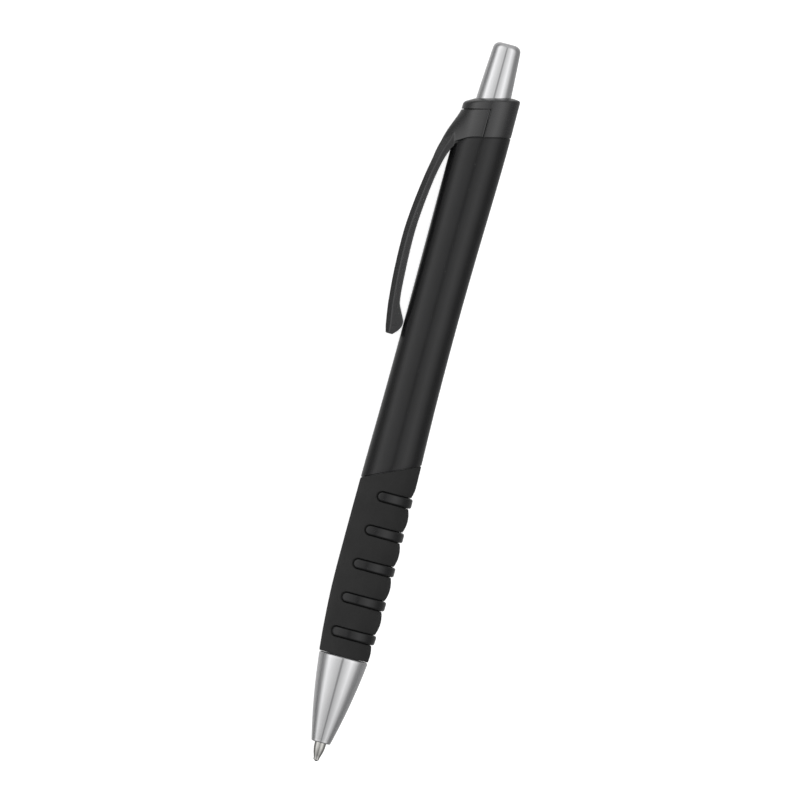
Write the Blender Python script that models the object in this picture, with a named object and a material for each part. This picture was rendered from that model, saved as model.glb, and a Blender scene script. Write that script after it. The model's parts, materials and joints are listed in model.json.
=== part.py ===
"""Retractable ballpoint pen with a waisted plastic barrel, a ribbed rubber grip and a side clip.

The pen is modelled upright in its own frame and then laid on its side.
In that frame the writing tip is at the origin, +Z runs to the push button and the clip is on -X.
Heights and radii are in millimetres and become metres when a mesh is made.
The rest position has the tip out. The button then travels 5 mm up to draw the tip in.
"""
from math import asin, atan2, cos, hypot, pi, radians, sin, sqrt, tan

import bmesh
import bpy
from mathutils import Matrix, Vector

MM = 0.001
SEGMENTS = 36            # facets round the outer shells
CAM_SEGMENTS = 48        # facets round the cam pieces, six for each ratchet tooth
GAP = 0.1                # clearance between pieces that touch
PAST_SURFACE = 2         # how far a cutter reaches out, where 1 is the outer surface

# Outer shape: the height, the reach on the clip side and the reach on the far side.
BODY_STATIONS = (
    (20.9, 4.91, 4.80),
    (25.8, 5.36, 5.12),
    (33.5, 5.80, 5.28),
    (43.2, 5.88, 5.24),
    (56.7, 5.82, 5.01),
    (72.1, 5.63, 4.66),
    (87.5, 5.55, 4.58),
    (101.0, 5.55, 4.74),
    (120.2, 5.55, 5.15),
    (133.0, 5.45, 5.15),
)

# Nose cone
NOSE_FRONT = 3.7
NOSE_REAR = 20.85
NOSE_FRONT_RADIUS = 1.85
NOSE_REAR_RADIUS = 4.84
NOSE_BULGE = 0.30
NOSE_ROUNDING = 0.25
TIP_HOLE_RADIUS = 1.27
SPRING_SEAT = 8.5
SPRING_BORE_RADIUS = 2.35
THREAD_BORE_START = 13.4
THREAD_BORE_RADIUS = 3.4

# Barrel
SPIGOT_FRONT = 13.7
SPIGOT_BORE_RADIUS = 2.6
THREAD_CREST = 3.25
THREAD_ROOT = 3.0
THREAD_PITCH = 1.25
THREAD_TURNS = 4
GRIP_CORE_RADIUS = 4.15
CAM_BORE_START = 96.0
CAM_BORE_RADIUS = 3.95
NECK_RADIUS = 4.55
NECK_TOP = 128.0

# Seam between the grip and the barrel: a plane that is low on the clip side.
GRIP_SEAM_HEIGHT = 57.95
GRIP_SEAM_SLOPE = tan(radians(24.8))

# Ribs of the barrel that show through the windows of the grip
RIB_COUNT = 5
RIB_LOWEST = 25.3
RIB_PITCH = 6.82
RIB_HALF_WIDTH = 0.95
RIB_SPAN_LOWEST = radians(133)
RIB_SPAN_HIGHEST = radians(105)
WINDOW_MARGIN = 0.2
BAR_STEPS = 18
END_STEPS = 3

# End collar and clip base
COLLAR_SEAM_HEIGHT = 124.24
COLLAR_SEAM_SLOPE = 0.24
COLLAR_SEAM_SAG = 0.0023
COLLAR_TOP_HEIGHT = 132.74
COLLAR_TOP_SLOPE = 0.26
COLLAR_TOP_DOME = 0.04
COLLAR_EDGE_ROUNDING = 0.4
COLLAR_RIM_UNDERSIDE = 129.75
BUTTON_HOLE_RADIUS = 3.42
CLIP_SEAM_HEIGHT = 130.2
CLIP_WRAP = radians(3)       # how far past half way round the clip's half shell reaches
SHELL_INNER_RADIUS = NECK_RADIUS + GAP

# Clip arm: height, reach of the inner and outer faces, half width, and the depth and width of the chamfer
CLIP_STATIONS = (
    (83.3, 7.10, 8.45, 2.00, 0.60, 0.60),
    (84.5, 6.05, 8.75, 2.03, 0.90, 0.85),
    (86.0, 5.66, 9.02, 2.06, 0.95, 0.90),
    (87.9, 6.52, 9.32, 2.10, 0.95, 1.00),
    (89.6, 7.28, 9.53, 2.12, 0.95, 1.10),
    (95.2, 7.77, 9.98, 2.15, 0.95, 1.30),
    (102.9, 8.02, 10.16, 2.20, 0.95, 1.50),
    (108.7, 7.71, 9.77, 2.30, 1.00, 1.55),
    (114.5, 7.05, 9.05, 2.50, 1.15, 1.65),
    (120.2, 5.85, 8.10, 2.95, 1.70, 1.90),
)
# Root of the clip: height, and how far it stands out of the half shell
CLIP_ROOT_STATIONS = (
    (122.75, 2.05),
    (124.6, 1.50),
    (126.4, 0.80),
    (128.2, 0.0),
)
CLIP_ROOT_HALF_WIDTH = 3.4
CLIP_ROOT_FLAT = 1.0
CLIP_ROOT_LEDGE = 0.05
CLIP_PIVOT_REACH = 6.95
CLIP_PIVOT_HEIGHT = 121.3
CLIP_HEAD_RADIUS = 1.3

# Cam mechanism
CAM_LOBES = 4
CAM_TEETH = 8
TOOTH_HEIGHT = 0.9
LOBE_HALF_ANGLE = radians(8)
SLOT_HALF_ANGLE = radians(16)
CAM_SLEEVE_RADIUS = 3.85
CAM_SLEEVE_BOTTOM = 104.0
CAM_SLEEVE_TOP = 122.0
SLOT_TOP = 120.0
SLOT_RADIUS = 3.6
LAND_RADIUS = 3.0
STEM_RADIUS = 2.85
LOBE_RADIUS = 3.45

# Push button
BUTTON_FLANGE_BOTTOM = 123.6
BUTTON_FLANGE_TOP = 124.6
BUTTON_FLANGE_RADIUS = 3.75
BUTTON_RADIUS = 3.28
BUTTON_TAPER_START = 132.0
BUTTON_TAPER_END = 141.8
BUTTON_END_RADIUS = 2.72
BUTTON_TOP = 143.1
BUTTON_FLAT_RADIUS = 1.4
BUTTON_BORE_RADIUS = 2.55
BUTTON_BORE_TOP = 134.0

# Refill
BALL_RADIUS = 0.5
TIP_RADIUS = 1.15
TIP_TAIL_RADIUS = 0.9
TIP_REAR = 10.0
HOLDER_RADIUS = 1.5
HOLDER_SHOULDER = 24.0
HOLDER_SHOULDER_RADIUS = 2.05
TUBE_FRONT = 25.1
TUBE_REAR = 101.7
TUBE_RADIUS = 1.5
TUBE_BORE_RADIUS = 1.1
INK_REAR = 88.0

# Return spring
WIRE_RADIUS = 0.2
COIL_RADIUS = 1.95
SPRING_TURNS = 7
CLOSED_TURNS = 1.25
CLOSED_PITCH = 0.46
POINTS_PER_TURN = 12


def smooth(stations, height):
    """The values at a height, on smooth curves through the stations."""
    last = len(stations) - 1
    low = next((i for i in range(last) if height <= stations[i + 1][0]), last - 1)
    before, start = stations[max(low - 1, 0)], stations[low]
    end, after = stations[low + 1], stations[min(low + 2, last)]
    span = end[0] - start[0]
    t = (height - start[0]) / span
    values = []
    for i in range(1, len(start)):
        slope_start = (end[i] - before[i]) / (end[0] - before[0]) * span
        slope_end = (after[i] - start[i]) / (after[0] - start[0]) * span
        rise = end[i] - start[i]
        curve = (slope_start + slope_end - 2 * rise) * t ** 3
        curve += (3 * rise - 2 * slope_start - slope_end) * t ** 2
        values.append(start[i] + slope_start * t + curve)
    return values


def angles(segments):
    return [2 * pi * i / segments for i in range(segments)]


def circle(radius, height, segments=SEGMENTS):
    return [(radius * cos(a), radius * sin(a), height) for a in angles(segments)]


def body_point(angle, height):
    """A point of the pen's outer surface. The body's centre leans toward the clip."""
    clip_side, far_side = smooth(BODY_STATIONS, height)
    radius = (clip_side + far_side) / 2
    centre = (far_side - clip_side) / 2
    return (centre + radius * cos(angle), radius * sin(angle), height)


def body_ring(height_at):
    """A ring on the outer surface, at the height that height_at gives for each x."""
    ring = []
    for angle in angles(SEGMENTS):
        x = body_point(angle, height_at(0))[0]
        ring.append(body_point(angle, height_at(x)))
    return ring


def sloped_circle(radius, height_at, lift=0.0):
    return [(x, y, height_at(x) + lift) for x, y, _ in circle(radius, 0)]


def outward(inner, angle, height, share):
    """A point on the way out from a circle round the axis to the outer surface, or past it."""
    start = Vector((inner * cos(angle), inner * sin(angle), height))
    return start.lerp(Vector(body_point(angle, height)), share)


def grip_seam(x):
    return GRIP_SEAM_HEIGHT + GRIP_SEAM_SLOPE * x


def collar_seam(x):
    """The collar's lower edge, which curves down toward the clip."""
    return COLLAR_SEAM_HEIGHT + COLLAR_SEAM_SLOPE * x - COLLAR_SEAM_SAG * min(x, 0) ** 4


def collar_top(x, y):
    return COLLAR_TOP_HEIGHT + COLLAR_TOP_SLOPE * x - COLLAR_TOP_DOME * (x * x + y * y)


def clip_seam(x):
    return CLIP_SEAM_HEIGHT + COLLAR_TOP_SLOPE * x


def between(low, high, share):
    """A height function part of the way from one to another."""
    return lambda x: (1 - share) * low(x) + share * high(x)


def skin(rings, hollow):
    """A mesh over a stack of rings: a tube wall when hollow, otherwise capped at both ends."""
    mesh = bmesh.new()
    loops = [[mesh.verts.new(Vector(p) * MM) for p in ring] for ring in rings]
    count = len(loops[0])
    pairs = list(zip(loops, loops[1:]))
    if hollow:
        pairs.append((loops[-1], loops[0]))
    else:
        mesh.faces.new(loops[0])
        mesh.faces.new(loops[-1])
    for lower, upper in pairs:
        for i in range(count):
            j = (i + 1) % count
            mesh.faces.new((lower[i], lower[j], upper[j], upper[i]))
    bmesh.ops.recalc_face_normals(mesh, faces=mesh.faces)
    return mesh


def turned(profile, hollow=True, segments=SEGMENTS):
    return skin([circle(r, z, segments) for r, z in profile], hollow)


def plastic(name, colour, roughness):
    return material(name, colour, roughness, 0.0)


def metal(name, colour, roughness):
    return material(name, colour, roughness, 1.0)


def material(name, colour, roughness, metallic):
    made = bpy.data.materials.new(name)
    made.use_nodes = True
    shader = made.node_tree.nodes["Principled BSDF"]
    shader.inputs["Base Color"].default_value = (*colour, 1.0)
    shader.inputs["Roughness"].default_value = roughness
    shader.inputs["Metallic"].default_value = metallic
    return made


def add_piece(name, mesh, look, pen, origin=(0, 0, 0)):
    """An object for a piece, with its origin at a point of the pen's frame."""
    data = bpy.data.meshes.new(name)
    mesh.transform(Matrix.Translation(-Vector(origin) * MM))
    mesh.to_mesh(data)
    mesh.free()
    data.materials.append(look)
    data.shade_smooth()
    data.set_sharp_from_angle(angle=radians(32))
    piece = bpy.data.objects.new(name, data)
    piece.parent = pen
    piece.location = Vector(origin) * MM
    bpy.context.collection.objects.link(piece)
    return piece


def add_tool(name, mesh, pen):
    """A shape that is cut from a piece or added to it, and isn't a piece itself."""
    tool = add_piece(name, mesh, plastic(name, (0.5, 0.5, 0.5), 0.5), pen)
    tool.hide_render = True
    tool.display_type = "WIRE"
    return tool


def combine(piece, tool, operation):
    modifier = piece.modifiers.new(tool.name, "BOOLEAN")
    modifier.operation = operation
    modifier.object = tool
    modifier.solver = "EXACT"


def wrapped_bar(mesh, height, half_width, half_angle, reach):
    """A bar with round ends, bent round the pen with its middle on the far side."""
    inner = GRIP_CORE_RADIUS - 0.4
    end_radius = inner + half_width
    end_angle = half_width / end_radius
    straight = half_angle - end_angle
    end_steps = [end_angle * (1 - cos(pi / 2 * i / END_STEPS)) for i in range(1, END_STEPS)]
    steps = [step - half_angle for step in end_steps]
    steps += [straight * (2 * i / BAR_STEPS - 1) for i in range(BAR_STEPS + 1)]
    steps += [half_angle - step for step in reversed(end_steps)]

    def corner(angle, share, side):
        overrun = max(abs(angle) - straight, 0) / end_angle
        z = height + side * half_width * sqrt(max(1 - overrun ** 2, 0))
        return mesh.verts.new(outward(inner, angle, z, share) * MM)

    def section(angle):
        return [corner(angle, *place) for place in ((0, -1), (reach, -1), (reach, 1), (0, 1))]

    def tip(angle):
        low, high = corner(angle, 0, 0), corner(angle, reach, 0)
        return [low, high, high, low]

    sections = [tip(-half_angle)] + [section(a) for a in steps] + [tip(half_angle)]
    for left, right in zip(sections, sections[1:]):
        for i in range(4):
            j = (i + 1) % 4
            corners = (left[i], left[j], right[j], right[i])
            face = list(dict.fromkeys(corners))
            if len(face) > 2:
                mesh.faces.new(face)


def bars(half_width, margin, reach):
    """One bar for each rib. The higher ribs reach less far round."""
    mesh = bmesh.new()
    for i in range(RIB_COUNT):
        share = i / (RIB_COUNT - 1)
        span = (1 - share) * RIB_SPAN_LOWEST + share * RIB_SPAN_HIGHEST
        height = RIB_LOWEST + i * RIB_PITCH
        span += margin / GRIP_CORE_RADIUS
        wrapped_bar(mesh, height, half_width, span, reach)
    bmesh.ops.recalc_face_normals(mesh, faces=mesh.faces)
    return mesh


def half_shell(inner, low, high, margin, outer_column):
    """A half ring on the clip side, between two sloping edges. outer_column gives its outer points."""
    steps = SEGMENTS // 2
    half_angle = pi / 2 + CLIP_WRAP - margin
    mesh = bmesh.new()
    sections = []
    for i in range(steps + 1):
        angle = pi + half_angle * (2 * i / steps - 1)
        x = inner * cos(angle)
        corners = [outward(inner, angle, low(x), 0)]
        corners += outer_column(angle, low, high)
        corners.append(outward(inner, angle, high(x), 0))
        sections.append([mesh.verts.new(Vector(corner) * MM) for corner in corners])
    mesh.faces.new(sections[0])
    mesh.faces.new(sections[-1])
    for left, right in zip(sections, sections[1:]):
        for i in range(len(left)):
            j = (i + 1) % len(left)
            mesh.faces.new((left[i], left[j], right[j], right[i]))
    bmesh.ops.recalc_face_normals(mesh, faces=mesh.faces)
    return mesh


def clip_root_column(angle, low, high):
    """Points up the outside of the clip's half shell, over the root where the arm grows out of it."""
    x, y, _ = body_point(angle, low(0))
    bottom, top = low(x), high(x)
    spread = (CLIP_ROOT_HALF_WIDTH - abs(y)) / (CLIP_ROOT_HALF_WIDTH - CLIP_ROOT_FLAT)
    share = min(max(spread, 0), 1)
    count = len(CLIP_ROOT_STATIONS) + 1
    ledge = (CLIP_ROOT_STATIONS[0][0] - CLIP_ROOT_LEDGE, 0)
    points = [body_point(angle, bottom)]
    for i, (height, rise) in enumerate((ledge, *CLIP_ROOT_STATIONS)):
        if share == 0:
            height = bottom + (top - bottom) * (i + 1) / (count + 1)
        height = max(height, bottom + CLIP_ROOT_LEDGE * (i + 1))
        x, y, z = body_point(angle, height)
        points.append((x - rise * share, y, z))
    return points + [body_point(angle, top)]


def clip_section(height, inner, outer, half_width, depth, width):
    """A level section of the clip, with chamfered corners on the outer side."""
    flat = half_width - width
    waist = outer - min(depth, (outer - inner) / 2)
    return [
        (-inner, -half_width, height),
        (-waist, -half_width, height),
        (-outer, -flat, height),
        (-outer, flat, height),
        (-waist, half_width, height),
        (-inner, half_width, height),
    ]


def lobed_ring(radius, lobe_radius, half_angle, height, wave=0.0):
    """A ring with four lobes, whose height rises and falls once for each ratchet tooth."""
    ring = []
    for angle in angles(CAM_SEGMENTS):
        pitch = 2 * pi / CAM_LOBES
        off = abs((angle + pitch / 2) % pitch - pitch / 2)
        r = lobe_radius if off <= half_angle else radius
        rise = abs((angle * CAM_TEETH / (2 * pi)) % 1 * 2 - 1)
        ring.append((r * cos(angle), r * sin(angle), height + wave * rise))
    return ring


def plain_cam_ring(radius, height, wave=0.0):
    return lobed_ring(radius, radius, 0, height, wave)


def nose_radius(height):
    share = (height - NOSE_FRONT) / (NOSE_REAR - NOSE_FRONT)
    straight = NOSE_FRONT_RADIUS + (NOSE_REAR_RADIUS - NOSE_FRONT_RADIUS) * share
    return straight + 4 * NOSE_BULGE * share * (1 - share)


def make_nose_cone(pen):
    steps = 7
    first = NOSE_FRONT + NOSE_ROUNDING
    last = NOSE_REAR - NOSE_ROUNDING
    profile = [(NOSE_FRONT_RADIUS - NOSE_ROUNDING, NOSE_FRONT)]
    for i in range(steps + 1):
        height = first + (last - first) * i / steps
        profile.append((nose_radius(height), height))
    profile += [
        (NOSE_REAR_RADIUS - NOSE_ROUNDING / 2, NOSE_REAR),
        (THREAD_BORE_RADIUS, NOSE_REAR),
        (THREAD_BORE_RADIUS, THREAD_BORE_START),
        (SPRING_BORE_RADIUS, THREAD_BORE_START),
        (SPRING_BORE_RADIUS, SPRING_SEAT),
        (TIP_HOLE_RADIUS, SPRING_SEAT),
        (TIP_HOLE_RADIUS, NOSE_FRONT),
    ]
    add_piece("nose_cone", turned(profile), metal("chrome_nose", (0.72, 0.72, 0.74), 0.16), pen)


def spigot_rings():
    """The barrel's threaded spigot, with each thread turn as a ring."""
    rings = [circle(THREAD_ROOT, SPIGOT_FRONT)]
    for turn in range(THREAD_TURNS):
        start = SPIGOT_FRONT + 0.6 + turn * THREAD_PITCH
        rings += [
            circle(THREAD_ROOT, start),
            circle(THREAD_CREST, start + THREAD_PITCH * 0.4),
            circle(THREAD_ROOT, start + THREAD_PITCH * 0.8),
        ]
    return rings


def make_barrel(pen):
    shoulder = NOSE_REAR + GAP
    steps = 10
    rings = spigot_rings()
    rings += [circle(THREAD_ROOT, shoulder), circle(GRIP_CORE_RADIUS, shoulder)]
    rings.append(sloped_circle(GRIP_CORE_RADIUS, grip_seam))
    rings += [body_ring(between(grip_seam, collar_seam, i / steps)) for i in range(steps + 1)]
    rings.append(sloped_circle(NECK_RADIUS, collar_seam))
    rings += [circle(NECK_RADIUS, NECK_TOP), circle(CAM_BORE_RADIUS, NECK_TOP)]
    rings += [circle(CAM_BORE_RADIUS, CAM_BORE_START), circle(SPIGOT_BORE_RADIUS, CAM_BORE_START)]
    rings.append(circle(SPIGOT_BORE_RADIUS, SPIGOT_FRONT))
    look = plastic("barrel_plastic", (0.012, 0.012, 0.014), 0.28)
    barrel = add_piece("barrel", skin(rings, hollow=True), look, pen)
    ribs = add_tool("rib_shapes", bars(RIB_HALF_WIDTH, 0, 1), pen)
    combine(barrel, ribs, "UNION")


def make_grip_sleeve(pen):
    front = NOSE_REAR + GAP
    steps = 8

    def front_edge(_):
        return front

    def rear_edge(x):
        return grip_seam(x) - GAP

    rings = [body_ring(between(front_edge, rear_edge, i / steps)) for i in range(steps + 1)]
    rings.append(sloped_circle(GRIP_CORE_RADIUS + GAP, rear_edge))
    rings.append(circle(GRIP_CORE_RADIUS + GAP, front))
    look = plastic("grip_rubber", (0.035, 0.035, 0.035), 0.75)
    sleeve = add_piece("grip_sleeve", skin(rings, hollow=True), look, pen)
    half_width = RIB_HALF_WIDTH + WINDOW_MARGIN
    windows = add_tool("window_shapes", bars(half_width, WINDOW_MARGIN, PAST_SURFACE), pen)
    combine(sleeve, windows, "DIFFERENCE")


def make_end_collar(pen):
    """The collar closes the barrel and guides the button. Its clip side is cut away below the seam."""
    def lower_edge(x):
        return collar_seam(x) + GAP

    def upper_edge(x):
        return collar_top(x, 0) - COLLAR_EDGE_ROUNDING

    def on_top(ring, inset, drop):
        shrunk = []
        for x, y, _ in ring:
            scale = 1 - inset / hypot(x, y)
            shrunk.append((x * scale, y * scale, collar_top(x * scale, y * scale) - drop))
        return shrunk

    rim = body_ring(upper_edge)
    hole = circle(BUTTON_HOLE_RADIUS, 0)
    rings = [body_ring(between(lower_edge, upper_edge, i / 4)) for i in range(4)]
    rings += [
        on_top(rim, 0, COLLAR_EDGE_ROUNDING),
        on_top(rim, COLLAR_EDGE_ROUNDING * 0.3, COLLAR_EDGE_ROUNDING * 0.3),
        on_top(rim, COLLAR_EDGE_ROUNDING, 0),
        on_top(hole, -0.2, 0),
        on_top(hole, 0, 0.2),
        circle(BUTTON_HOLE_RADIUS, COLLAR_RIM_UNDERSIDE),
        circle(SHELL_INNER_RADIUS, COLLAR_RIM_UNDERSIDE),
        sloped_circle(SHELL_INNER_RADIUS, lower_edge),
    ]
    look = plastic("collar_plastic", (0.06, 0.06, 0.063), 0.38)
    collar = add_piece("end_collar", skin(rings, hollow=True), look, pen)

    def past_seam(x):
        return collar_seam(x) - 3

    def past_surface(angle, low, high):
        x = outward(inner, angle, low(0), PAST_SURFACE).x
        return [outward(inner, angle, edge(x), PAST_SURFACE) for edge in (low, high)]

    inner = SHELL_INNER_RADIUS - 0.2
    room = half_shell(inner, past_seam, clip_seam, 0, past_surface)
    combine(collar, add_tool("clip_room", room, pen), "DIFFERENCE")


def make_clip_base(pen):
    """A half shell flush with the collar, and the thick root that the clip arm grows from."""
    def lower_edge(x):
        return collar_seam(x) + GAP

    def upper_edge(x):
        return clip_seam(x) - GAP

    margin = GAP / NECK_RADIUS
    shell = half_shell(SHELL_INNER_RADIUS, lower_edge, upper_edge, margin, clip_root_column)
    look = plastic("clip_base_plastic", (0.06, 0.06, 0.063), 0.38)
    add_piece("clip_base", shell, look, pen)


def make_clip_arm(pen):
    """The springy arm. Its round head turns about the pivot, where the real clip bends."""
    sections = [clip_section(*station) for station in CLIP_STATIONS]
    for share in (0.0, 0.45, 0.65, 0.8, 0.92):
        half = sqrt(1 - share ** 2) * CLIP_HEAD_RADIUS
        half = min(half, CLIP_HEAD_RADIUS * 0.9)
        height = CLIP_PIVOT_HEIGHT + share * CLIP_HEAD_RADIUS
        faces = (CLIP_PIVOT_REACH - half, CLIP_PIVOT_REACH + half)
        sections.append(clip_section(height, *faces, *CLIP_STATIONS[-1][3:]))
    look = plastic("clip_arm_plastic", (0.06, 0.06, 0.063), 0.38)
    pivot = (-CLIP_PIVOT_REACH, 0, CLIP_PIVOT_HEIGHT)
    add_piece("clip_arm", skin(sections, hollow=False), look, pen, pivot)


def make_cam_sleeve(pen):
    """The fixed guide. The cam rotor's lobes run up its four slots or latch on its lower teeth."""
    slot = (LAND_RADIUS, SLOT_RADIUS, SLOT_HALF_ANGLE)
    rings = [
        plain_cam_ring(CAM_SLEEVE_RADIUS, CAM_SLEEVE_BOTTOM, TOOTH_HEIGHT),
        plain_cam_ring(CAM_SLEEVE_RADIUS, CAM_SLEEVE_TOP),
        plain_cam_ring(LAND_RADIUS, CAM_SLEEVE_TOP),
        plain_cam_ring(LAND_RADIUS, SLOT_TOP),
        lobed_ring(*slot, SLOT_TOP - 0.3),
        lobed_ring(*slot, CAM_SLEEVE_BOTTOM, TOOTH_HEIGHT),
    ]
    look = plastic("cam_sleeve_plastic", (0.55, 0.55, 0.52), 0.5)
    add_piece("cam_sleeve", skin(rings, hollow=True), look, pen)


def make_cam_rotor(pen):
    """The rotor has four lobes for the slots, ratchet teeth on top and a socket for the refill."""
    bottom = 99.0
    lobe_bottom = 100.4
    lobe_top = 103.4
    tooth_base = 105.0
    socket_radius = TUBE_RADIUS + GAP
    lobe = (STEM_RADIUS, LOBE_RADIUS, LOBE_HALF_ANGLE)
    rings = [
        plain_cam_ring(socket_radius, TUBE_REAR + GAP),
        plain_cam_ring(socket_radius, bottom),
        plain_cam_ring(STEM_RADIUS, bottom),
        plain_cam_ring(STEM_RADIUS, lobe_bottom - 0.3),
        lobed_ring(*lobe, lobe_bottom),
        lobed_ring(*lobe, lobe_top - 0.6),
        plain_cam_ring(STEM_RADIUS, lobe_top),
        plain_cam_ring(STEM_RADIUS, tooth_base, TOOTH_HEIGHT),
        plain_cam_ring(socket_radius, tooth_base, TOOTH_HEIGHT),
        plain_cam_ring(socket_radius, tooth_base - 1),
    ]
    look = plastic("cam_rotor_plastic", (0.75, 0.72, 0.62), 0.45)
    add_piece("cam_rotor", skin(rings, hollow=False), look, pen)


def make_plunger(pen):
    """The stem under the button. Its keys stop it turning and its crown drives the rotor."""
    crown_bottom = 106.1
    key_bottom = 110.0
    key_top = 113.0
    shoulder = BUTTON_FLANGE_BOTTOM - GAP
    plug_radius = BUTTON_BORE_RADIUS - GAP
    bore_radius = 1.5
    bore_top = 120.0
    key = (STEM_RADIUS, LOBE_RADIUS, LOBE_HALF_ANGLE)
    rings = [
        plain_cam_ring(bore_radius, bore_top),
        plain_cam_ring(bore_radius, crown_bottom, TOOTH_HEIGHT),
        plain_cam_ring(STEM_RADIUS, crown_bottom, TOOTH_HEIGHT),
        plain_cam_ring(STEM_RADIUS, key_bottom - 0.3),
        lobed_ring(*key, key_bottom),
        lobed_ring(*key, key_top),
        plain_cam_ring(STEM_RADIUS, key_top + 0.3),
        plain_cam_ring(STEM_RADIUS, shoulder),
        plain_cam_ring(plug_radius, shoulder),
        plain_cam_ring(plug_radius, BUTTON_BORE_TOP - GAP),
    ]
    look = plastic("plunger_plastic", (0.55, 0.55, 0.52), 0.5)
    add_piece("plunger", skin(rings, hollow=False), look, pen)


def make_push_button(pen):
    profile = [
        (BUTTON_BORE_RADIUS, BUTTON_BORE_TOP),
        (BUTTON_BORE_RADIUS, BUTTON_FLANGE_BOTTOM),
        (BUTTON_FLANGE_RADIUS, BUTTON_FLANGE_BOTTOM),
        (BUTTON_FLANGE_RADIUS, BUTTON_FLANGE_TOP),
        (BUTTON_RADIUS, BUTTON_FLANGE_TOP),
        (BUTTON_RADIUS, BUTTON_TAPER_START),
    ]
    corner = BUTTON_TOP - BUTTON_TAPER_END
    for i in range(5):
        angle = radians(85) * i / 4
        radius = BUTTON_FLAT_RADIUS + (BUTTON_END_RADIUS - BUTTON_FLAT_RADIUS) * cos(angle)
        profile.append((radius, BUTTON_TAPER_END + corner * sin(angle)))
    profile.append((BUTTON_FLAT_RADIUS, BUTTON_TOP))
    look = metal("chrome_button", (0.72, 0.72, 0.74), 0.14)
    add_piece("push_button", turned(profile, hollow=False), look, pen)


def make_writing_ball(pen):
    mesh = bmesh.new()
    bmesh.ops.create_uvsphere(mesh, u_segments=20, v_segments=12, radius=BALL_RADIUS * MM)
    centre = (0, 0, BALL_RADIUS)
    mesh.transform(Matrix.Translation(Vector(centre) * MM))
    look = metal("carbide", (0.6, 0.6, 0.62), 0.2)
    add_piece("writing_ball", mesh, look, pen, centre)


def make_refill_tip(pen):
    """The metal tip: a cone with a seat round the ball and an ink channel behind it."""
    seat = BALL_RADIUS + 0.05
    channel = 0.25
    tail_rear = TIP_REAR + 4
    profile = [(0.53, 0.25), (0.6, 0.8), (0.84, 1.5), (1.03, 2.3), (1.12, 3.1)]
    profile += [(TIP_RADIUS, 4.2), (TIP_RADIUS, TIP_REAR), (TIP_TAIL_RADIUS, TIP_REAR)]
    profile += [(TIP_TAIL_RADIUS, tail_rear), (channel, tail_rear)]
    for degrees in (63, 40, 20, 0, -20):
        angle = radians(degrees)
        profile.append((seat * cos(angle), BALL_RADIUS + seat * sin(angle)))
    profile.append((0.47, 0.25))
    look = metal("nickel_silver", (0.62, 0.58, 0.5), 0.28)
    add_piece("refill_tip", turned(profile, segments=24), look, pen)


def make_refill_tip_holder(pen):
    front = TIP_REAR + GAP
    spigot_rear = 30.0
    channel = 0.5
    tail_bore = TIP_TAIL_RADIUS + GAP
    bore_end = TIP_REAR + 4 + GAP
    profile = [
        (HOLDER_RADIUS, front),
        (HOLDER_RADIUS, HOLDER_SHOULDER),
        (HOLDER_SHOULDER_RADIUS, HOLDER_SHOULDER),
        (HOLDER_SHOULDER_RADIUS, TUBE_FRONT - GAP),
        (TUBE_BORE_RADIUS - GAP, TUBE_FRONT - GAP),
        (TUBE_BORE_RADIUS - GAP, spigot_rear),
        (channel, spigot_rear),
        (channel, bore_end),
        (tail_bore, bore_end),
        (tail_bore, front),
    ]
    look = plastic("tip_holder_plastic", (0.8, 0.8, 0.78), 0.4)
    add_piece("refill_tip_holder", turned(profile, segments=24), look, pen)


def make_refill_tube(pen):
    profile = [
        (TUBE_RADIUS, TUBE_FRONT),
        (TUBE_RADIUS, TUBE_REAR),
        (TUBE_BORE_RADIUS, TUBE_REAR),
        (TUBE_BORE_RADIUS, TUBE_FRONT),
    ]
    look = plastic("tube_plastic", (0.75, 0.77, 0.8), 0.25)
    add_piece("refill_tube", turned(profile, segments=24), look, pen)


def make_refill_ink(pen):
    radius = TUBE_BORE_RADIUS - GAP
    profile = [(radius, 30.0 + GAP), (radius, INK_REAR)]
    look = plastic("ink", (0.01, 0.01, 0.02), 0.1)
    add_piece("refill_ink", turned(profile, hollow=False, segments=24), look, pen)


def spring_points():
    """Points along the wire: closed turns at each end and open turns between them."""
    start = SPRING_SEAT + GAP + WIRE_RADIUS
    end = HOLDER_SHOULDER - GAP - WIRE_RADIUS
    closed_rise = CLOSED_TURNS * CLOSED_PITCH
    open_pitch = (end - start - 2 * closed_rise) / SPRING_TURNS
    turns = SPRING_TURNS + 2 * CLOSED_TURNS
    points = []
    for i in range(int(turns * POINTS_PER_TURN) + 1):
        turn = i / POINTS_PER_TURN
        rise = min(turn, CLOSED_TURNS) * CLOSED_PITCH
        rise += min(max(turn - CLOSED_TURNS, 0), SPRING_TURNS) * open_pitch
        rise += max(turn - CLOSED_TURNS - SPRING_TURNS, 0) * CLOSED_PITCH
        angle = 2 * pi * turn
        points.append((COIL_RADIUS * cos(angle), COIL_RADIUS * sin(angle), start + rise))
    return points


def make_return_spring(pen):
    curve = bpy.data.curves.new("return_spring", "CURVE")
    curve.dimensions = "3D"
    curve.bevel_depth = WIRE_RADIUS * MM
    curve.bevel_resolution = 1
    curve.use_fill_caps = True
    points = spring_points()
    spline = curve.splines.new("POLY")
    spline.points.add(len(points) - 1)
    for target, point in zip(spline.points, points):
        target.co = (*(Vector(point) * MM), 1)
    curve.materials.append(metal("spring_steel", (0.55, 0.55, 0.56), 0.25))
    spring = bpy.data.objects.new("return_spring", curve)
    spring.parent = pen
    bpy.context.collection.objects.link(spring)


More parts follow.
